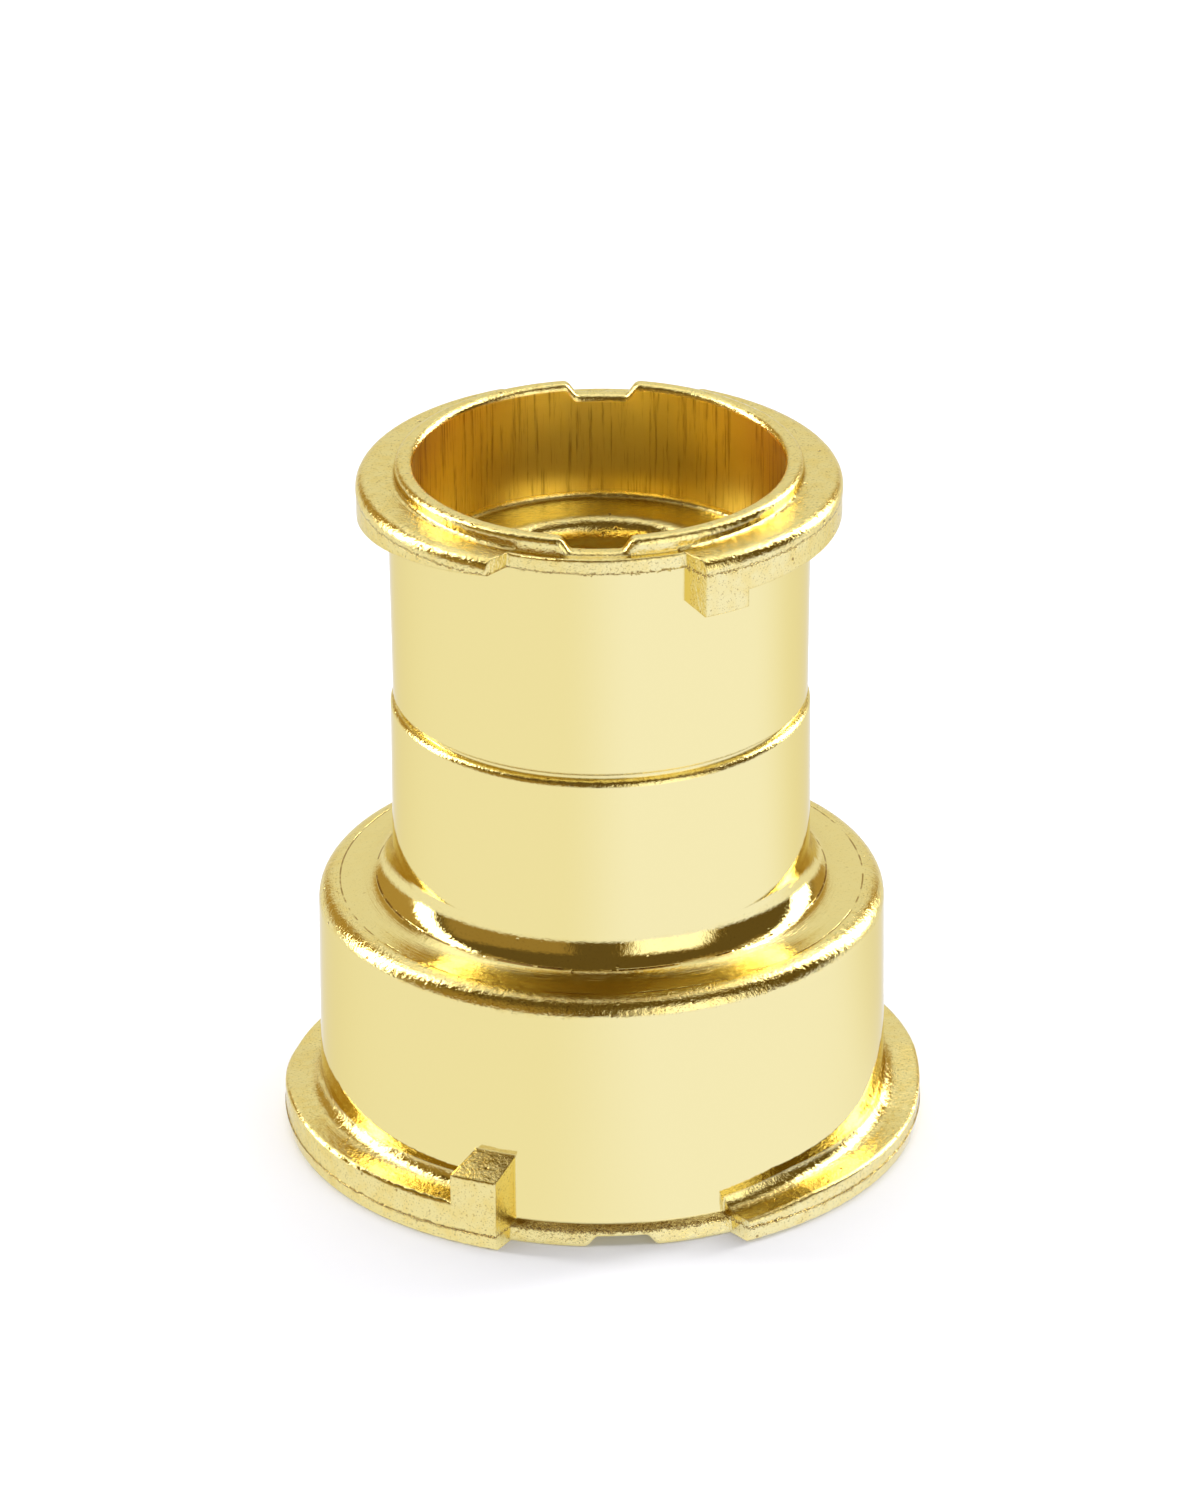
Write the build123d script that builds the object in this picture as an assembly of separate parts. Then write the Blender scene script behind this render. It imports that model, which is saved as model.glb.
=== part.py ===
from build123d import *
import os
from math import cos, hypot, radians, sin, tan

# Bayonet adapter sleeve: one hollow casting, turned on its tubes and plated.
# Millimetres, +Z up, origin on the axis at the plane the part stands on.
# Angles are in degrees about +Z, counter-clockwise from above, and 0 is at -Y,
# the middle of the front gap in the top flange.

# ---- heights and lengths along the axis ----------------------------------------
flange_parting_z = 0.80     # joint between the two halves of the mould, foot end
entry_rise = 0.77           # from there up to where a mating lug slides in
locking_rise = 0.65         # climb from the entry land to the locking land
body_height = 13.05         # up to the flat shoulder of the wide body
lower_tube_length = 10.03
upper_tube_length = 11.02   # from the lower tube's lip to the mould's upper joint
top_flange_lift = 0.75      # from that joint to the top flange's upper face
rim_height = 0.75           # rim round the bore, above that face
collar_rise = 0.72          # height of the collar between tube and rim
socket_depth = 6.05
web = 1.95                  # thickness of the web below the socket's floor
ceiling = 1.60              # thickness of the shoulder over the wide chamber

# ---- radii and steps, from the bore outwards -------------------------------------
bore_r = 9.05               # socket at the top
socket_ledge = 3.05         # floor of the socket round the hole in the web
rim_wall = 0.90
top_flange_ledge = 1.91     # how far the top flange stands out past the rim
upper_tube_step = 0.25      # how far the upper tube stands out past the rim
lower_tube_step = 0.15      # how far the lower tube stands out past the upper
shoulder_width = 3.79       # from the lower tube out to the wide body
foot_flange_ledge = 1.80    # how far the foot flange stands out past the body
body_wall = 1.25
tube_wall = 1.25            # wall of the lower tube
body_draft = 0.45           # how far the body leans in, degrees
lower_tube_draft = 0.15     # degrees
upper_tube_draft = 0.65     # how far the upper tube leans out, degrees

# ---- rounds, ledges and grooves -----------------------------------------------
shoulder_round = 1.00
tube_root = 1.90            # hollow fillet between lower tube and shoulder
lip_flat = 0.02             # flat left between the lower tube's lip and the groove
groove_depth = 0.25         # relief groove at the foot of the upper tube
groove_width = 0.22
groove_slope = 0.14
rim_round = 0.33            # rounded edges of the rim round the bore
flash = 0.03                # witness step where the two mould halves meet
collar_flare = 0.15         # how far the collar stands out past the upper tube
collar_lean = 0.05          # how far its wall leans in on the way up
collar_round = 0.12
foot_flare = 0.56           # how far the foot of the body flares out at the bottom
foot_shelf = 0.42           # top of that flare past the body
foot_round = 0.15
hole_round = 0.90
inner_round = 0.50          # rounds in the corners of the cores
socket_round = 0.25

# ---- foot flange: gaps, cam and stop lugs ---------------------------------------
foot_turn = 4.5             # foot features are turned this far from the top ones
foot_gap = 22.9             # half angle of each gap at the flange's edge
foot_gap_face = 36.4        # slope of a gap's end faces from its middle plane
lead_in_drop = 0.37         # how far the thin end lies below the entry land
lead_in_span = 14.0
entry_span = 36.0
rise_span = 22.0
foot_root = 0.80            # hollow fillet between flange and body
flange_edge = 0.20
foot_draft = 0.12           # how far the flange's edge leans in below the parting
lug_width = 2.38            # along the flange's edge
lug_inset = 0.02            # how far a lug's face lies inside the flange's edge
lug_edge = 0.10             # rounded edges of the lugs
foot_lug_height = 1.50      # from the locking land to the lug's outer top edge
foot_lug_slope = 22.0

# ---- top flange -----------------------------------------------------------------
top_gap = 26.4
top_gap_face = 43.7
top_thin = 0.80             # thickness of the top flange at its thin end
top_cam_drop = 1.25         # how far the cam comes down from there to its land
top_cam_span = 56.0
top_cam_edge = 0.12
top_round = 0.60            # rounded upper edge of the top flange
top_root = 0.25
top_lug_height = 0.92       # from the locking land down to the lug's outer edge
top_lug_slope = 17.0

# ---- slots in the two rims --------------------------------------------------------
slot_floor = 2.50           # width at the slot's floor
slot_mouth = 3.40           # width at the rim's edge
slot_root = 0.30            # hollow rounds beside the slot's floor
slot_round = 0.45           # rounds where its sides meet the rim
top_slot_depth = 0.65
foot_slot_depth = 0.50

inside = 0.6                # how far added pieces reach into the wall they join
reach = 3.0                 # how far a cutter runs past what it cuts
spare = 2.0                 # degrees a piece runs into a gap before the gap is cut
beside = 0.1                # how far from a wall an edge still counts as its own
touch = 0.01                # the same for heights


def drafted(radius, degrees, rise):
    """Radius after a wall has leant by so many degrees over a rise."""
    return radius + rise * tan(radians(degrees))


rim_r = bore_r + rim_wall
hole_r = bore_r - socket_ledge
top_flange_r = rim_r + top_flange_ledge
upper_tube_r = rim_r + upper_tube_step
lower_tube_r = upper_tube_r + lower_tube_step
body_r = lower_tube_r + shoulder_width
flange_r = body_r + foot_flange_ledge

entry_land_z = flange_parting_z + entry_rise
locking_land_z = entry_land_z + locking_rise
foot_lug_z = locking_land_z + foot_lug_height
shoulder_z = body_height
step_z = shoulder_z + lower_tube_length
collar_parting_z = step_z + upper_tube_length
top_land_z = collar_parting_z + top_flange_lift
crest_z = top_land_z + rim_height
collar_top_z = collar_parting_z + collar_rise
thin_z = top_land_z - top_thin
top_lock_z = thin_z - top_cam_drop
top_lug_z = top_lock_z - top_lug_height
socket_floor_z = crest_z - socket_depth
web_z = socket_floor_z - web
chamber_z = shoulder_z - ceiling

body_top_r = drafted(body_r, -body_draft, shoulder_z - flange_parting_z)
lip_r = drafted(lower_tube_r, -lower_tube_draft, lower_tube_length)
groove_r = upper_tube_r - groove_depth
groove_top_z = step_z + groove_width
upper_tube_z = groove_top_z + groove_slope
upper_tube_top_r = drafted(upper_tube_r, upper_tube_draft, collar_parting_z - upper_tube_z)
collar_r = upper_tube_top_r + collar_flare
foot_r = body_r + foot_flare
chamber_r = body_r - body_wall
core_r = lower_tube_r - tube_wall
lip_round = lip_r - groove_r - lip_flat


def rounded(points, rounds):
    """Closed outline in the XZ plane, with some of its corners rounded."""
    outline = make_face(Polyline(*[(r, z) for r, z in points], close=True))
    for corner, radius in rounds:
        vertex = outline.vertices().sort_by_distance(Vector(corner[0], corner[1], 0))[0]
        outline = fillet(vertex, radius)
    return outline


def turned(outline, span=360.0):
    """Solid of revolution of an XZ outline, from +X round by span degrees."""
    return revolve(Plane.XZ * outline, Axis.Z, span)


def at(angle):
    """Turn from +X to an angle counted from -Y."""
    return Rot(0, 0, angle - 90)


def degrees_of(length, radius):
    """Angle that a length takes up along a circle."""
    return length / radius / radians(1)


def spot(radius, angle):
    """Point in plan at a radius and an angle counted from -Y."""
    return Vector(radius * sin(radians(angle)), -radius * cos(radians(angle)))


def sleeve():
    """The tubes, the body and the rims, without their flanges."""
    shoulder = (body_top_r, shoulder_z)
    tube_foot = (lower_tube_r, shoulder_z)
    lip = (lip_r, step_z)
    collar_top = (collar_r - collar_lean, collar_top_z)
    socket_corner = (bore_r, socket_floor_z)
    hole_edge = (hole_r, socket_floor_z)
    core_top = (core_r, web_z)
    chamber_top = (chamber_r, chamber_z)
    points = [
        (foot_r, 0),
        (body_r + foot_shelf, flange_parting_z),
        (body_r, flange_parting_z + foot_shelf / 2),
        shoulder,
        tube_foot,
        lip,
        (groove_r, step_z),
        (groove_r, groove_top_z),
        (upper_tube_r, upper_tube_z),
        (upper_tube_top_r, collar_parting_z - flash),
        (collar_r, collar_parting_z),
        collar_top,
        (rim_r, collar_top_z),
        (rim_r, crest_z),
        (bore_r, crest_z),
        socket_corner,
        hole_edge,
        (hole_r, web_z),
        core_top,
        (core_r, chamber_z),
        chamber_top,
        (chamber_r, 0),
    ]
    rounds = [
        (shoulder, shoulder_round),
        (tube_foot, tube_root),
        (lip, lip_round),
        (collar_top, collar_round),
        (socket_corner, socket_round),
        (hole_edge, hole_round),
        (core_top, inner_round),
        (chamber_top, inner_round),
    ]
    return turned(rounded(points, rounds))


def cam_piece(outline, start, span, low, high):
    """An outline carried round the axis from one level to another."""
    placed = Plane.XZ * Pos(0, low) * outline
    rise = high - low
    if rise == 0:
        piece = revolve(placed, Axis.Z, span)
    else:
        path = Helix(abs(rise) * 360 / span, abs(rise), flange_r)
        piece = sweep(placed, path=path, is_frenet=True)
    return at(start) * piece


def gap_cutter(half_angle, face_angle, edge_r, low, high):
    """Prism between the two sloping end faces of a gap at the front."""
    corner = spot(edge_r, half_angle)
    along = spot(reach, face_angle)
    outer = corner + along
    inner = corner - along
    plan = Polyline(
        (inner.X, inner.Y),
        (outer.X, outer.Y),
        (-outer.X, outer.Y),
        (-inner.X, inner.Y),
        close=True,
    )
    return Pos(0, 0, low) * extrude(make_face(plan), high - low)


def lug(near, far, lean, edge_r, wall_r, base_z, outer_z, slope):
    """Stop lug between two angles, its sides leaning past radial by a lean."""
    inner_r = wall_r - inside
    corners = []
    for angle in (near, far):
        edge = spot(edge_r, angle)
        along = spot(1, angle + lean)
        corners.append((edge + along * inside, edge - along * reach))
    (near_out, near_in), (far_out, far_in) = corners
    plan = Polyline(
        (near_out.X, near_out.Y),
        (far_out.X, far_out.Y),
        (far_in.X, far_in.Y),
        (near_in.X, near_in.Y),
        close=True,
    )
    block = extrude(make_face(plan), 2 * crest_z, both=True)
    end_z = outer_z + (edge_r - inner_r) * tan(radians(slope))
    edge = (edge_r, outer_z)
    section = [(inner_r, base_z), (edge_r, base_z), edge, (inner_r, end_z)]
    return block & turned(rounded(section, [(edge, lug_edge)]))


def half_flange(ring, cams, stop, cutter):
    """The half of a flange from the middle of its front gap round to the back."""
    half = ring
    for cam in cams:
        half += cam
    half += stop
    half -= cutter
    half -= Rot(0, 0, 180) * cutter
    return half


def foot_flange():
    """Right half of the foot flange: drafted foot, helical cam and stop lug."""
    seat_r = body_r - inside
    foot_edge = (flange_r - foot_draft, 0)
    outline = rounded(
        [
            (seat_r, 0),
            foot_edge,
            (flange_r + flash, flange_parting_z),
            (seat_r, flange_parting_z),
        ],
        [(foot_edge, foot_round)],
    )
    ring = at(0) * turned(outline, 180)
    root_r = body_r - flash
    outer = (flange_r, 0)
    hollow = (root_r, 0)
    section = rounded(
        [
            (seat_r, -reach),
            (flange_r, -reach),
            outer,
            hollow,
            (root_r, foot_root + flash),
            (seat_r, foot_root + flash),
        ],
        [(outer, flange_edge), (hollow, foot_root)],
    )
    slope = lead_in_drop / lead_in_span
    entry_at = foot_gap + lead_in_span
    rise_at = entry_at + entry_span
    lock_at = rise_at + rise_span
    lock_end = 180 - foot_gap + spare
    start_z = entry_land_z - lead_in_drop - spare * slope
    cams = [
        cam_piece(section, foot_gap - spare, lead_in_span + spare, start_z, entry_land_z),
        cam_piece(section, entry_at, entry_span, entry_land_z, entry_land_z),
        cam_piece(section, rise_at, rise_span, entry_land_z, locking_land_z),
        cam_piece(section, lock_at, lock_end - lock_at, locking_land_z, locking_land_z),
    ]
    cams = [split(cam, Plane.XY.offset(flange_parting_z), keep=Keep.TOP) for cam in cams]
    far = 180 - foot_gap - degrees_of(lug_width, flange_r)
    lean = foot_gap - foot_gap_face
    lug_r = flange_r - lug_inset
    stop = lug(lock_end, far, lean, lug_r, body_r, flange_parting_z, foot_lug_z, foot_lug_slope)
    cutter = gap_cutter(foot_gap, foot_gap_face, flange_r, -reach, foot_lug_z + reach)
    return half_flange(ring, cams, stop, cutter)


def top_flange():
    """Right half of the top flange: rounded edge, cam underneath and stop lug."""
    seat_r = rim_r - inside
    upper = (top_flange_r, top_land_z)
    corner = (rim_r - flash, top_land_z)
    outline = rounded(
        [
            (seat_r, collar_parting_z),
            (top_flange_r, collar_parting_z),
            upper,
            corner,
            (rim_r - flash, top_land_z + top_root + flash),
            (seat_r, top_land_z + top_root + flash),
        ],
        [(upper, top_round), (corner, top_root)],
    )
    ring = at(0) * turned(outline, 180)
    wall_r = top_flange_r - flash
    root_r = upper_tube_top_r - 2 * flash
    outer = (wall_r, 0)
    hollow = (root_r, 0)
    section = rounded(
        [
            (seat_r, reach),
            (wall_r, reach),
            outer,
            hollow,
            (root_r, -top_root - flash),
            (seat_r, -top_root - flash),
        ],
        [(outer, top_cam_edge), (hollow, top_root)],
    )
    slope = (thin_z - top_lock_z) / top_cam_span
    ramp_at = 180 - top_gap - top_cam_span
    cams = [
        cam_piece(section, top_gap - spare, ramp_at - top_gap + spare, top_lock_z, top_lock_z),
        cam_piece(section, ramp_at, top_cam_span + spare, top_lock_z, thin_z + spare * slope),
    ]
    cams = [split(cam, Plane.XY.offset(collar_parting_z), keep=Keep.BOTTOM) for cam in cams]
    far = top_gap + degrees_of(lug_width, top_flange_r)
    lean = top_gap_face - top_gap
    lug_r = wall_r - lug_inset
    near = top_gap - spare
    stop = lug(near, far, lean, lug_r, root_r, collar_parting_z, top_lug_z, top_lug_slope)
    cutter = gap_cutter(top_gap, top_gap_face, top_flange_r, top_lug_z - reach, top_land_z + reach)
    return half_flange(ring, cams, stop, cutter)


def slot(depth, edge_z, up):
    """Cutter for a pair of slots across a rim, up for the top one."""
    floor_z = edge_z - up * depth
    beyond = edge_z + up * reach
    widen = (slot_mouth - slot_floor) / 2 / depth
    far = slot_floor / 2 + widen * abs(beyond - floor_z)
    left = (-slot_floor / 2, floor_z)
    right = (slot_floor / 2, floor_z)
    outline = [left, right, (far, beyond), (-far, beyond)]
    section = rounded(outline, [(left, slot_root), (right, slot_root)])
    return extrude(Plane.XZ * section, 2 * flange_r, both=True)


def along_rim(edge, walls, floor_z, up):
    """True for an edge on one of a rim's walls, from its slot floors outwards."""
    middle = edge @ 0.5
    gaps = [abs(hypot(middle.X, middle.Y) - wall) for wall in walls]
    heights = [up * (end.Z - floor_z) for end in (edge @ 0, edge @ 1)]
    return min(gaps) < beside and min(heights) > -touch


def slotted(part, turn, depth, edge_z, up, walls, edge_round):
    """A rim with its pair of slots cut, then rounded along the walls given."""
    part -= Rot(0, 0, turn) * slot(depth, edge_z, up)
    mouths = part.edges().filter_by(GeomType.LINE).group_by(Axis.Z)[-1 if up > 0 else 0]
    part = fillet(mouths, slot_round)
    floor_z = edge_z - up * depth
    rim = [edge for edge in part.edges() if along_rim(edge, walls, floor_z, up)]
    return fillet(rim, edge_round)


def bayonet_sleeve():
    part = slotted(sleeve(), 0, top_slot_depth, crest_z, 1, [rim_r, bore_r], rim_round)
    part = slotted(part, foot_turn, foot_slot_depth, 0, -1, [foot_r], foot_round)
    foot = Rot(0, 0, foot_turn) * foot_flange()
    top = top_flange()
    for turn in (0, 180):
        part += Rot(0, 0, turn) * foot
        part += Rot(0, 0, turn) * top
    return part


os.makedirs("parts", exist_ok=True)
export_step(bayonet_sleeve(), "parts/bayonet_sleeve.step")
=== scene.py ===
import math

import bmesh
import bpy
from mathutils import Matrix, Vector

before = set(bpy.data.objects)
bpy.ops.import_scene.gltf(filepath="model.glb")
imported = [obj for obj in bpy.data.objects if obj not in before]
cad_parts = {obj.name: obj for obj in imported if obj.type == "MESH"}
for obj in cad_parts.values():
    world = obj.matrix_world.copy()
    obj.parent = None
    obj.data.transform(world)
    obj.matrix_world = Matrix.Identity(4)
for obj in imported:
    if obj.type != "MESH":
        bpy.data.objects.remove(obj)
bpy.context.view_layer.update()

bl_info = {
    "name": "Bayonet sleeve",
    "version": (1, 0, 0),
    "blender": (4, 5, 0),
    "location": "View3D > Sidebar > Sleeve",
    "description": "Gold-plated bayonet sleeve with its stage",
    "category": "Object",
}

CAD_NODE = "bayonet_sleeve"

# faces of the casting that the marks keep to, in millimetres
MM_PER_METRE = 1000.0
BORE_R = 9.05               # wall of the socket
RIM_R = 9.95                # outside of the rim round it
TUBE_R = 10.35              # lower and wider of the two tubes
FILLET_R = 12.25            # outer end of the hollow fillet at the tube's foot
BODY_R = 14.14
FOOT_PARTING_Z = 0.80       # joint between the mould's halves in the foot flange
SHOULDER_Z = 13.05
SOCKET_FLOOR_Z = 29.55
TOP_PARTING_Z = 34.10       # joint between the mould's halves in the top flange

# marks: depths against the relief, and how much of the stain colour each takes
GRAIN_LEFT = 0.04           # grain that polishing left on the walls
SHOULDER_POLISH = 0.75      # how far the shoulder was polished, where the walls are 1
WITNESS_DEPTH = 0.9
SCRATCH_DEPTH = 0.8
MARK_STAIN = 0.8            # witness lines, pits and scratches
TARNISH_STAIN = 0.6
SCORE_STAIN = 0.6           # deepest of the socket's draw lines

# the floor and the lamp, in metres
FLOOR_RADIUS = 1.5
SHADED_R = 0.0125           # the floor is dark to the plating up to here
OPEN_R = 0.0160             # and fully bright from here on
UNDER_SHADE = 0.30          # how bright it is where it is dark
WINDOW_SIDE = (20.0, 85.0, 40.0)    # bright side of the floor: from, to and soft edge, degrees
LAMP_SIZE = (0.9, 0.7)
LAMP_PLACE = (0.0, 0.05, 0.80)
LAMP_WATTS = 5.0
SENSOR_WIDTH = 36.0         # millimetres

WHITE = (1.0, 1.0, 1.0, 1.0)
WARM_ROOM = (1.0, 0.68, 0.22, 1.0)


# ---- materials ----------------------------------------------------------------

class Tree:
    """The node tree of a material or a world, with short calls for its nodes."""

    def __init__(self, owner):
        owner.use_nodes = True
        self.nodes = owner.node_tree.nodes
        self.links = owner.node_tree.links
        self.nodes.clear()

    def feed(self, socket, value):
        """Link a socket to a socket, or set it to a number or colour."""
        if isinstance(value, (int, float, tuple)):
            socket.default_value = value
        else:
            self.links.new(value, socket)

    def math(self, operation, *values):
        node = self.nodes.new("ShaderNodeMath")
        node.operation = operation
        for socket, value in zip(node.inputs, values):
            self.feed(socket, value)
        return node.outputs[0]

    def product(self, first, *others):
        for other in others:
            first = self.math("MULTIPLY", first, other)
        return first

    def total(self, first, *others):
        for other in others:
            first = self.math("ADD", first, other)
        return first

    def most(self, first, *others):
        for other in others:
            first = self.math("MAXIMUM", first, other)
        return first

    def rest(self, value):
        """What is left of 1."""
        return self.math("SUBTRACT", 1.0, value)

    def step(self, value, low, high):
        """0 below low, 1 above high, smooth between; the other way round if high is below low."""
        node = self.nodes.new("ShaderNodeMapRange")
        node.interpolation_type = "SMOOTHSTEP"
        node.inputs["From Min"].default_value = low
        node.inputs["From Max"].default_value = high
        self.feed(node.inputs["Value"], value)
        return node.outputs["Result"]

    def band(self, value, low, high, soft):
        """1 between low and high, falling to 0 over a soft edge outside them."""
        return self.product(self.step(value, low - soft, low), self.step(value, high + soft, high))

    def vector(self, x, y, z):
        node = self.nodes.new("ShaderNodeCombineXYZ")
        for socket, value in zip(node.inputs, (x, y, z)):
            self.feed(socket, value)
        return node.outputs[0]

    def noise(self, vector, scale, detail=2.0, roughness=0.5):
        node = self.nodes.new("ShaderNodeTexNoise")
        node.inputs["Scale"].default_value = scale
        node.inputs["Detail"].default_value = detail
        node.inputs["Roughness"].default_value = roughness
        self.feed(node.inputs["Vector"], vector)
        return node.outputs["Fac"]

    def cells(self, vector, scale):
        """Distance from the middle of the nearest of many scattered cells."""
        node = self.nodes.new("ShaderNodeTexVoronoi")
        node.inputs["Scale"].default_value = scale
        self.feed(node.inputs["Vector"], vector)
        return node.outputs["Distance"]

    def mix(self, factor, a, b):
        node = self.nodes.new("ShaderNodeMix")
        node.data_type = "RGBA"
        for socket, value in zip((node.inputs[0], node.inputs[6], node.inputs[7]), (factor, a, b)):
            self.feed(socket, value)
        return node.outputs[2]

    def shader(self, kind, **settings):
        node = self.nodes.new(kind)
        for name, value in settings.items():
            self.feed(node.inputs[name.replace("_", " ")], value)
        return node

    def switch(self, ray, otherwise, seen):
        """One shader for a kind of ray, and another for all the rest."""
        path = self.nodes.new("ShaderNodeLightPath")
        node = self.nodes.new("ShaderNodeMixShader")
        for socket, value in zip(node.inputs, (path.outputs[ray], otherwise, seen)):
            self.feed(socket, value)
        return node.outputs[0]


class Place:
    """Sockets for where a point of the sleeve lies, in millimetres, and how it faces."""

    def __init__(self, tree):
        scaled = tree.nodes.new("ShaderNodeVectorMath")
        scaled.operation = "SCALE"
        scaled.inputs["Scale"].default_value = MM_PER_METRE
        tree.feed(scaled.inputs[0], tree.nodes.new("ShaderNodeTexCoord").outputs["Object"])
        self.point = scaled.outputs[0]
        parts = tree.nodes.new("ShaderNodeSeparateXYZ")
        tree.feed(parts.inputs[0], self.point)
        self.x, self.y, self.z = parts.outputs
        squares = tree.total(tree.product(self.x, self.x), tree.product(self.y, self.y))
        self.radius = tree.math("SQRT", squares)
        self.angle = tree.math("ARCTAN2", self.y, self.x)
        normal = tree.nodes.new("ShaderNodeSeparateXYZ")
        tree.feed(normal.inputs[0], tree.nodes.new("ShaderNodeNewGeometry").outputs["Normal"])
        facing_up = tree.math("ABSOLUTE", normal.outputs["Z"])
        self.level = tree.step(facing_up, 0.85, 0.98)
        self.upright = tree.step(facing_up, 0.30, 0.12)


def smooth_walls(tree, place):
    """1 on the outer walls of the tubes and the body, which were turned and polished."""
    body_height = tree.band(place.z, FOOT_PARTING_Z + 0.15, SHOULDER_Z - 0.85, 0.15)
    body = tree.product(tree.step(place.radius, BODY_R + 0.26, BODY_R + 0.11), body_height)
    tube_height = tree.band(place.z, SHOULDER_Z + 1.15, TOP_PARTING_Z - 0.15, 0.3)
    tubes = tree.product(tree.step(place.radius, TUBE_R + 0.40, TUBE_R + 0.20), tube_height)
    outside = tree.step(place.radius, BORE_R + 0.25, BORE_R + 0.45)
    return tree.product(tree.most(body, tubes), outside, place.upright)


def turned_shoulder(tree, place):
    """1 on the shoulder's flat and on the fillet above it."""
    inside = tree.step(place.radius, FILLET_R + 0.90, FILLET_R + 0.70)
    return tree.product(inside, tree.band(place.z, SHOULDER_Z - 0.05, SHOULDER_Z + 1.55, 0.2))


def socket_wall(tree, place):
    """1 on the drawn wall of the socket."""
    inside = tree.step(place.radius, BORE_R + 0.25, BORE_R + 0.07)
    above = tree.step(place.z, SOCKET_FLOOR_Z + 0.15, SOCKET_FLOOR_Z + 0.35)
    return tree.product(inside, above, place.upright)


def witness_lines(tree, place):
    """Ragged lines where the mould halves met, broken up into specks."""
    ragged = tree.math("SUBTRACT", tree.noise(place.point, scale=2.6, detail=4.0, roughness=0.75), 0.5)
    height = tree.total(place.z, tree.product(ragged, 0.55))
    foot_line = tree.band(height, FOOT_PARTING_Z - 0.06, FOOT_PARTING_Z + 0.03, 0.06)
    foot = tree.product(foot_line, tree.step(place.radius, BODY_R - 0.04, BODY_R + 0.06))
    top_line = tree.band(height, TOP_PARTING_Z - 0.05, TOP_PARTING_Z + 0.04, 0.06)
    top = tree.product(top_line, tree.step(place.radius, RIM_R + 0.25, RIM_R + 0.35))
    specks = tree.step(tree.noise(place.point, scale=11.0, detail=3.0, roughness=0.6), 0.42, 0.56)
    return tree.product(tree.most(foot, top), specks)


def ring_scratch(tree, place, radius, width, floor_z):
    """A scratch round the axis on an upward face, fading in and out on its way round."""
    line = tree.band(place.radius, radius - width / 2, radius + width / 2, 0.02)
    on_face = tree.band(place.z, floor_z - 0.2, floor_z + 1.0, 0.05)
    broken = tree.step(tree.noise(place.point, scale=0.7, detail=3.0, roughness=0.6), 0.40, 0.55)
    return tree.product(line, on_face, broken)


def casting_skin(tree, place, settings, rough_cast):
    """Sandy grain of the casting, which polishing took off the walls."""
    sand = tree.noise(place.point, scale=6.0, detail=3.0, roughness=0.65)
    dimples = tree.noise(place.point, scale=2.4, detail=2.0)
    grain = tree.total(tree.product(sand, settings.grain), tree.product(dimples, settings.grain * 1.2))
    left = tree.total(tree.product(rough_cast, 1.0 - GRAIN_LEFT), GRAIN_LEFT)
    return tree.product(grain, left)


def turning_marks(tree, place, settings):
    """Fine marks round the axis on the level faces."""
    ring = tree.vector(tree.product(place.radius, 14.0), tree.product(place.angle, 1.5), 0.0)
    marks = tree.noise(ring, scale=1.0, detail=4.0, roughness=0.75)
    return tree.product(marks, place.level, settings.turning)


def draw_lines(tree, place):
    """Lines down the wall of the socket, from 0 to 1."""
    along = tree.vector(tree.product(place.angle, 34.0), tree.product(place.z, 0.16), 3.0)
    return tree.noise(along, scale=1.0, detail=4.0, roughness=0.7)


def casting_pits(tree, place, rough_cast):
    """1 in small scattered pits, none where the casting was polished."""
    pits = tree.step(tree.cells(place.point, scale=1.1), 0.13, 0.05)
    chosen = tree.step(tree.noise(place.point, scale=0.8, detail=2.0), 0.50, 0.56)
    return tree.product(pits, chosen, rough_cast)


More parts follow.
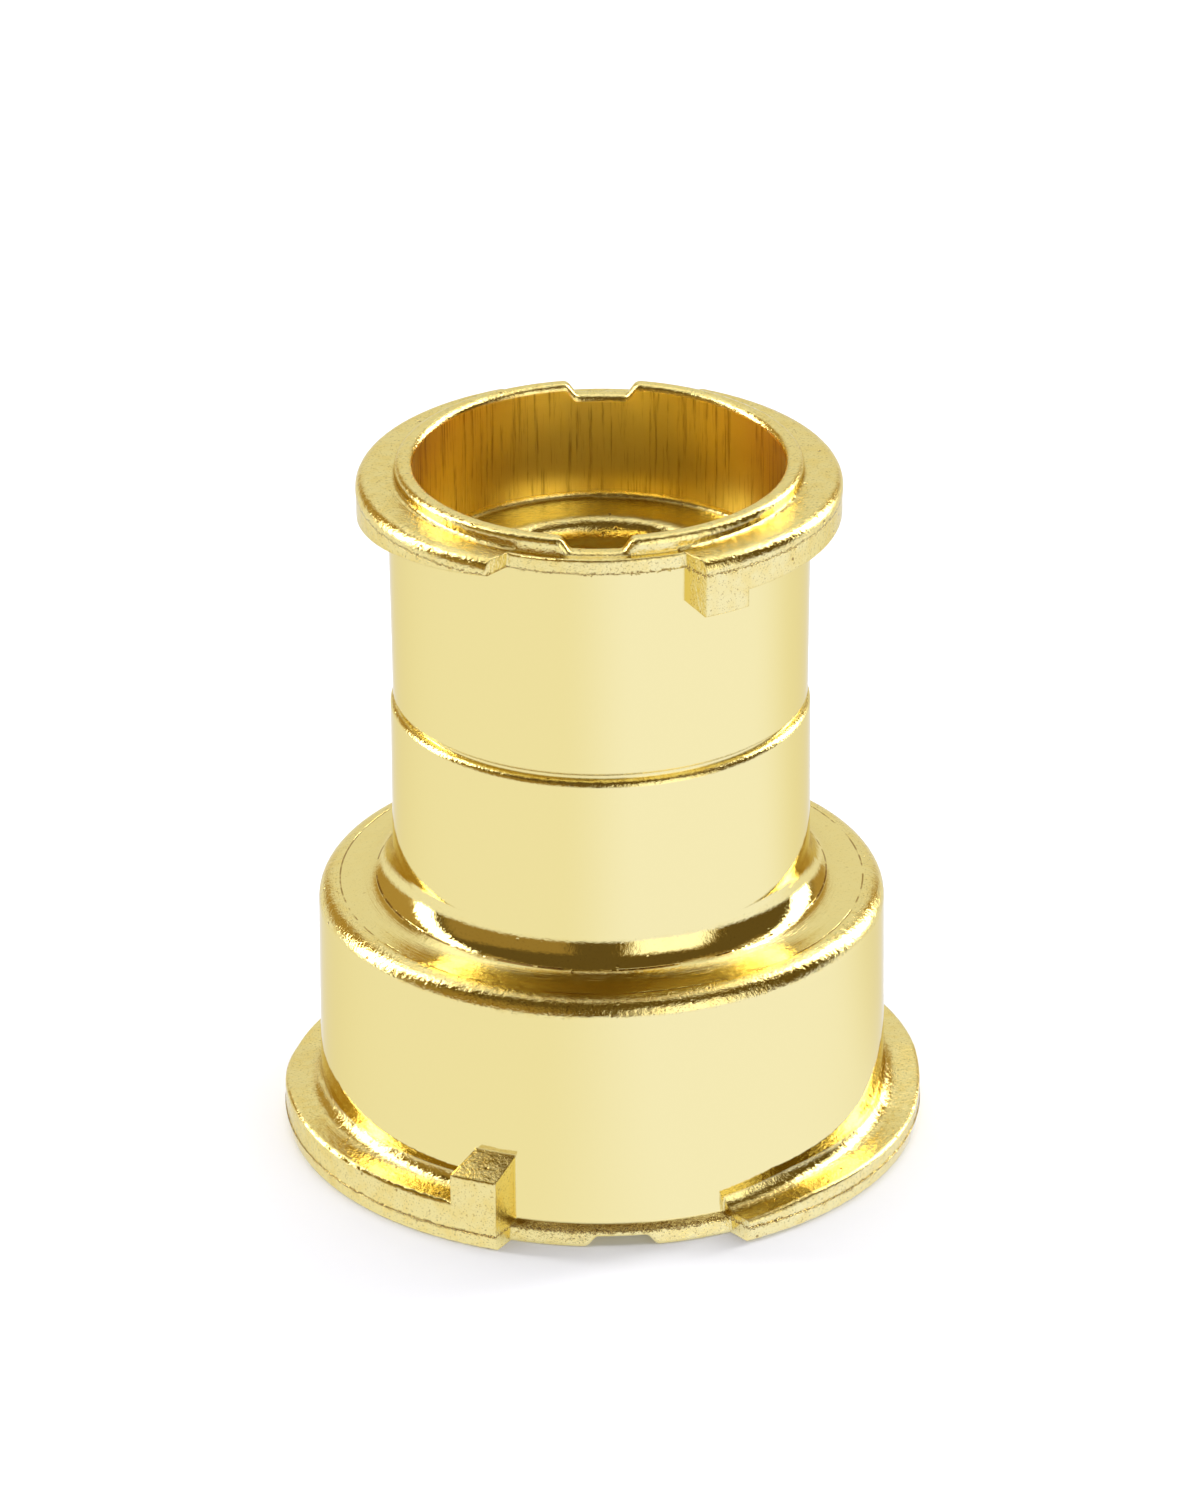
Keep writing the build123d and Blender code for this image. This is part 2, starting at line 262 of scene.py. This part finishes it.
def gold_plating(settings):
    """Bright gold-coloured plating over a casting that was turned, with its marks."""
    material = bpy.data.materials.new("gold_plating")
    tree = Tree(material)
    place = Place(tree)
    walls = smooth_walls(tree, place)
    socket = socket_wall(tree, place)
    shoulder = turned_shoulder(tree, place)
    rough_cast = tree.rest(tree.most(walls, socket, tree.product(shoulder, SHOULDER_POLISH)))

    # relief
    skin = casting_skin(tree, place, settings, rough_cast)
    turned = turning_marks(tree, place, settings)
    lines = draw_lines(tree, place)
    drawn = tree.product(lines, socket, settings.draw_lines)
    witness = witness_lines(tree, place)
    fillet_ring = ring_scratch(tree, place, FILLET_R - 1.08, 0.06, SHOULDER_Z + 0.25)
    edge_ring = ring_scratch(tree, place, FILLET_R + 0.73, 0.05, SHOULDER_Z)
    rings = tree.most(fillet_ring, edge_ring)
    pits = casting_pits(tree, place, rough_cast)
    cut = tree.total(tree.product(witness, WITNESS_DEPTH), tree.product(rings, SCRATCH_DEPTH), pits)
    height = tree.math("SUBTRACT", tree.total(skin, turned, drawn), cut)

    # colour
    drift = tree.product(tree.step(tree.noise(place.point, scale=1.3, detail=2.0), 0.35, 0.75), rough_cast)
    tone = tree.mix(drift, (*settings.plating_colour, 1.0), (*settings.shade_colour, 1.0))
    # painted light: the brighter socket colour stands in for light inside the bore
    tone = tree.mix(socket, tone, (*settings.brightened_socket_colour, 1.0))
    scored = tree.product(tree.step(lines, 0.50, 0.68), socket, SCORE_STAIN)
    flecks = tree.step(tree.noise(place.point, scale=9.0, detail=3.0, roughness=0.7), 0.56, 0.68)
    tarnish = tree.product(flecks, rough_cast, TARNISH_STAIN)
    stain = tree.most(tree.product(tree.most(witness, pits, rings), MARK_STAIN), tarnish, scored)
    colour = tree.mix(stain, tone, (*settings.stain_colour, 1.0))
    roughness = tree.total(tree.product(socket, settings.socket_haze),
                           tree.product(rough_cast, settings.cast_haze), settings.polish)

    edge = tree.nodes.new("ShaderNodeBevel")
    edge.samples = 4
    edge.inputs["Radius"].default_value = settings.edge_round
    bump = tree.shader("ShaderNodeBump", Height=height, Normal=edge.outputs[0])
    bump.inputs["Strength"].default_value = 1.0
    bump.inputs["Distance"].default_value = settings.relief
    gold = tree.shader("ShaderNodeBsdfPrincipled", Base_Color=colour, Roughness=roughness,
                       Metallic=1.0, Specular_Tint=(*settings.edge_colour, 1.0), Normal=bump.outputs[0])
    output = tree.nodes.new("ShaderNodeOutputMaterial")
    tree.feed(output.inputs[0], gold.outputs[0])
    return material


# ---- settings -----------------------------------------------------------------

class SleeveSettings(bpy.types.PropertyGroup):
    plating_colour: bpy.props.FloatVectorProperty(
        name="Plating colour", description="Colour of the plating seen square on",
        default=(0.91, 0.77, 0.32), subtype="COLOR", min=0.0, max=1.0)
    shade_colour: bpy.props.FloatVectorProperty(
        name="Shade colour", description="Deeper tone that the plating drifts to",
        default=(0.90, 0.72, 0.25), subtype="COLOR", min=0.0, max=1.0)
    # painted light: the socket's wall gets a brighter, yellower copy of the plating colour, so that the
    # bore looks lit
    brightened_socket_colour: bpy.props.FloatVectorProperty(
        name="Socket colour", description="Colour of the drawn wall inside the socket",
        default=(1.0, 0.82, 0.27), subtype="COLOR", min=0.0, max=1.0)
    edge_colour: bpy.props.FloatVectorProperty(
        name="Edge colour", description="Tint of the plating seen at a glancing angle",
        default=(0.88, 0.82, 0.62), subtype="COLOR", min=0.0, max=1.0)
    stain_colour: bpy.props.FloatVectorProperty(
        name="Stain colour", description="Colour in pits and along the mould's witness lines",
        default=(0.30, 0.17, 0.04), subtype="COLOR", min=0.0, max=1.0)
    polish: bpy.props.FloatProperty(
        name="Polish", description="Roughness of the polished plating",
        default=0.045, min=0.0, max=1.0)
    socket_haze: bpy.props.FloatProperty(
        name="Socket haze", description="Roughness that the socket's wall has on top of the polish",
        default=0.24, min=0.0, max=1.0)
    cast_haze: bpy.props.FloatProperty(
        name="Cast haze", description="Roughness that the unpolished skin has on top of the polish",
        default=0.03, min=0.0, max=1.0)
    grain: bpy.props.FloatProperty(
        name="Grain", description="Depth of the casting's grain against the relief",
        default=0.85, min=0.0, max=5.0)
    turning: bpy.props.FloatProperty(
        name="Turning marks", description="Depth of the turning marks against the relief",
        default=0.55, min=0.0, max=3.0)
    draw_lines: bpy.props.FloatProperty(
        name="Draw lines", description="Depth of the lines down the socket against the relief",
        default=0.9, min=0.0, max=3.0)
    relief: bpy.props.FloatProperty(
        name="Relief", description="Height that a depth of 1 stands for",
        default=0.00003, unit="LENGTH", min=0.0)
    edge_round: bpy.props.FloatProperty(
        name="Edge round", description="Radius that the plating gives to sharp edges",
        default=0.00014, unit="LENGTH", min=0.0)


class StageSettings(bpy.types.PropertyGroup):
    azimuth: bpy.props.FloatProperty(
        name="Azimuth", description="Turn of the camera round the axis from the front",
        default=math.radians(0.9), subtype="ANGLE")
    elevation: bpy.props.FloatProperty(
        name="Elevation", description="Height of the camera above the level",
        default=math.radians(25.6956), subtype="ANGLE")
    roll: bpy.props.FloatProperty(
        name="Roll", description="Turn of the camera about its own line of sight",
        default=math.radians(-0.33), subtype="ANGLE")
    distance: bpy.props.FloatProperty(
        name="Distance", description="From the camera to the point it looks at",
        default=0.400, unit="LENGTH", min=0.05)
    aim_side: bpy.props.FloatProperty(
        name="Aim side", description="How far to the right of the axis the camera looks",
        default=-0.0000362, unit="LENGTH")
    aim_height: bpy.props.FloatProperty(
        name="Aim height", description="Height of the point the camera looks at",
        default=0.01986, unit="LENGTH")
    lens: bpy.props.FloatProperty(
        name="Lens", description="Focal length in millimetres",
        default=243.26, min=1.0)
    floor_colour: bpy.props.FloatVectorProperty(
        name="Floor colour", description="Colour of the floor",
        default=(0.78, 0.785, 0.83), subtype="COLOR", min=0.0, max=1.0)
    floor_gleam: bpy.props.FloatVectorProperty(
        name="Floor gleam", description="Colour of the floor as the plating mirrors it",
        default=(0.945, 0.965, 1.06), subtype="COLOR", min=0.0, max=2.0)
    floor_bright: bpy.props.FloatVectorProperty(
        name="Bright floor", description="Colour of the floor on the side nearer the window",
        default=(1.01, 1.07, 1.42), subtype="COLOR", min=0.0, max=2.0)
    floor_lift: bpy.props.FloatProperty(
        name="Floor lift", description="White added to the floor as the camera sees it",
        default=0.07, min=0.0, max=1.0)


# ---- operators ------------------------------------------------------------------

class SLEEVE_OT_plating(bpy.types.Operator):
    """Give the casting its plating"""
    bl_idname = "sleeve.plating"
    bl_label = "Plating"

    def execute(self, context):
        settings = context.scene.sleeve_settings
        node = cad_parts[CAD_NODE]
        material = gold_plating(settings)
        node.data.materials.clear()
        node.data.materials.append(material)
        return {"FINISHED"}


class SLEEVE_OT_stage(bpy.types.Operator):
    """Lay the floor, hang the lamps and set the camera"""
    bl_idname = "sleeve.stage"
    bl_label = "Stage"

    def execute(self, context):
        settings = context.scene.stage_settings
        build_floor(settings)
        build_world()
        build_lamps()
        build_camera(settings)
        return {"FINISHED"}


def build_floor(settings):
    """A wide floor that takes the object's shadow, and that the plating mirrors as a bright card."""
    mesh = bpy.data.meshes.new("floor")
    shape = bmesh.new()
    bmesh.ops.create_circle(shape, cap_ends=True, segments=64, radius=FLOOR_RADIUS)
    shape.to_mesh(mesh)
    shape.free()
    floor = bpy.data.objects.new("floor", mesh)
    bpy.context.scene.collection.objects.link(floor)
    material = bpy.data.materials.new("floor_card")
    tree = Tree(material)
    card = tree.shader("ShaderNodeBsdfDiffuse", Color=(*settings.floor_colour, 1.0))
    glow = tree.shader("ShaderNodeEmission", Strength=settings.floor_lift)
    parts = tree.nodes.new("ShaderNodeSeparateXYZ")
    tree.feed(parts.inputs[0], tree.nodes.new("ShaderNodeTexCoord").outputs["Object"])
    x, y, _ = parts.outputs
    from_axis = tree.math("SQRT", tree.total(tree.product(x, x), tree.product(y, y)))
    turn = tree.math("ARCTAN2", x, tree.product(y, -1.0))
    open_floor = tree.step(from_axis, SHADED_R, OPEN_R)
    shade = tree.total(tree.product(open_floor, 1.0 - UNDER_SHADE), UNDER_SHADE)
    lit_side = tree.band(turn, *map(math.radians, WINDOW_SIDE))
    gleam = tree.mix(lit_side, (*settings.floor_gleam, 1.0), (*settings.floor_bright, 1.0))
    white = tree.shader("ShaderNodeEmission", Color=gleam, Strength=shade)
    lifted = tree.nodes.new("ShaderNodeAddShader")
    tree.feed(lifted.inputs[0], card.outputs[0])
    tree.feed(lifted.inputs[1], glow.outputs[0])
    seen = tree.switch("Is Camera Ray", card.outputs[0], lifted.outputs[0])
    seen = tree.switch("Is Glossy Ray", seen, white.outputs[0])
    tree.feed(tree.nodes.new("ShaderNodeOutputMaterial").inputs[0], seen)
    mesh.materials.append(material)


def build_world():
    """White to the camera; to metal, a dark warm room with a white sweep and strip lights."""
    world = bpy.data.worlds.new("studio")
    bpy.context.scene.world = world
    tree = Tree(world)
    parts = tree.nodes.new("ShaderNodeSeparateXYZ")
    tree.feed(parts.inputs[0], tree.nodes.new("ShaderNodeTexCoord").outputs["Generated"])
    x, y, z = parts.outputs
    azimuth = tree.math("ARCTAN2", x, tree.product(y, -1.0))
    strip_height = tree.band(z, 0.05, 0.75, 0.10)

    def card(middle, half_width, soft, height, strength):
        """A soft-edged card at an azimuth in degrees, 0 at the front."""
        low, high = math.radians(middle - half_width), math.radians(middle + half_width)
        return tree.product(tree.band(azimuth, low, high, math.radians(soft)), height, strength)

    sweep = tree.product(tree.step(tree.math("ABSOLUTE", x), 0.62, 0.36), tree.step(y, -0.12, 0.04), 0.85)
    ceiling = tree.product(tree.step(z, 0.60, 0.80), tree.step(y, 0.08, 0.30), 1.3)
    low_room = tree.band(z, 0.0, 0.55, 0.15)
    left = card(middle=-104.0, half_width=4.0, soft=3.5, height=strip_height, strength=11.0)
    right = card(middle=124.0, half_width=5.0, soft=3.5, height=strip_height, strength=11.0)
    window = card(middle=38.0, half_width=15.0, soft=14.0, height=low_room, strength=1.5)
    left_room = card(middle=-52.0, half_width=32.0, soft=12.0, height=low_room, strength=0.33)
    back_left = card(middle=-140.0, half_width=30.0, soft=15.0, height=low_room, strength=0.45)
    back_right = card(middle=160.0, half_width=20.0, soft=10.0, height=low_room, strength=0.45)
    below = tree.step(z, 0.01, -0.01)
    dark = 0.13
    strength = tree.most(sweep, ceiling, left, right, window, left_room, back_left, back_right, below, dark)

    # the metal mirrors what isn't lit as a room of warm wood and walls
    mirrored = tree.nodes.new("ShaderNodeLightPath").outputs["Is Glossy Ray"]
    white_part = tree.most(tree.step(strength, 0.45, 0.85), tree.rest(mirrored))
    tint = tree.mix(white_part, WARM_ROOM, WHITE)
    room = tree.shader("ShaderNodeBackground", Color=tint, Strength=strength)
    plain = tree.shader("ShaderNodeBackground", Color=WHITE)
    seen = tree.switch("Is Camera Ray", room.outputs[0], plain.outputs[0])
    tree.feed(tree.nodes.new("ShaderNodeOutputWorld").inputs[0], seen)


def build_lamps():
    """One large soft lamp overhead, which the metal doesn't mirror."""
    data = bpy.data.lights.new("lamp_over", "AREA")
    data.shape = "RECTANGLE"
    data.size, data.size_y = LAMP_SIZE
    data.energy = LAMP_WATTS
    lamp = bpy.data.objects.new("lamp_over", data)
    lamp.location = LAMP_PLACE
    lamp.visible_glossy = False
    bpy.context.scene.collection.objects.link(lamp)


def build_camera(settings):
    """The camera looks down at the front, from a little to the right of the middle."""
    turn = Matrix.Rotation(settings.azimuth, 3, "Z")
    aim = turn @ Vector((settings.aim_side, 0.0, settings.aim_height))
    back = turn @ Vector((0.0, -math.cos(settings.elevation), math.sin(settings.elevation)))
    right = turn @ Vector((1.0, 0.0, 0.0))
    up = back.cross(right)
    tilted_right = right * math.cos(settings.roll) + up * math.sin(settings.roll)
    tilted_up = up * math.cos(settings.roll) - right * math.sin(settings.roll)
    data = bpy.data.cameras.new("camera")
    data.sensor_fit = "HORIZONTAL"
    data.sensor_width = SENSOR_WIDTH
    data.lens = settings.lens
    data.clip_start = 0.01
    data.clip_end = 10.0
    camera = bpy.data.objects.new("camera", data)
    pose = Matrix((tilted_right, tilted_up, back)).transposed().to_4x4()
    pose.translation = aim + back * settings.distance
    camera.matrix_world = pose
    bpy.context.scene.collection.objects.link(camera)
    bpy.context.scene.camera = camera


class SLEEVE_PT_panel(bpy.types.Panel):
    bl_idname = "SLEEVE_PT_panel"
    bl_label = "Bayonet sleeve"
    bl_space_type = "VIEW_3D"
    bl_region_type = "UI"
    bl_category = "Sleeve"

    def draw(self, context):
        layout = self.layout
        for group in (context.scene.sleeve_settings, context.scene.stage_settings):
            for name in group.__annotations__:
                layout.prop(group, name)
        for operator in OPERATORS:
            layout.operator(operator.bl_idname)


OPERATORS = (SLEEVE_OT_plating, SLEEVE_OT_stage)
CLASSES = (SleeveSettings, StageSettings) + OPERATORS + (SLEEVE_PT_panel,)


def register():
    for cls in CLASSES:
        bpy.utils.register_class(cls)
    bpy.types.Scene.sleeve_settings = bpy.props.PointerProperty(type=SleeveSettings)
    bpy.types.Scene.stage_settings = bpy.props.PointerProperty(type=StageSettings)


def unregister():
    del bpy.types.Scene.stage_settings
    del bpy.types.Scene.sleeve_settings
    for cls in reversed(CLASSES):
        bpy.utils.unregister_class(cls)


def main():
    register()
    scene = bpy.context.scene
    scene.view_settings.view_transform = "Standard"
    scene.cycles.max_bounces = 16
    scene.cycles.glossy_bounces = 14
    bpy.ops.sleeve.plating()
    bpy.ops.sleeve.stage()


if __name__ == "__main__":
    main()
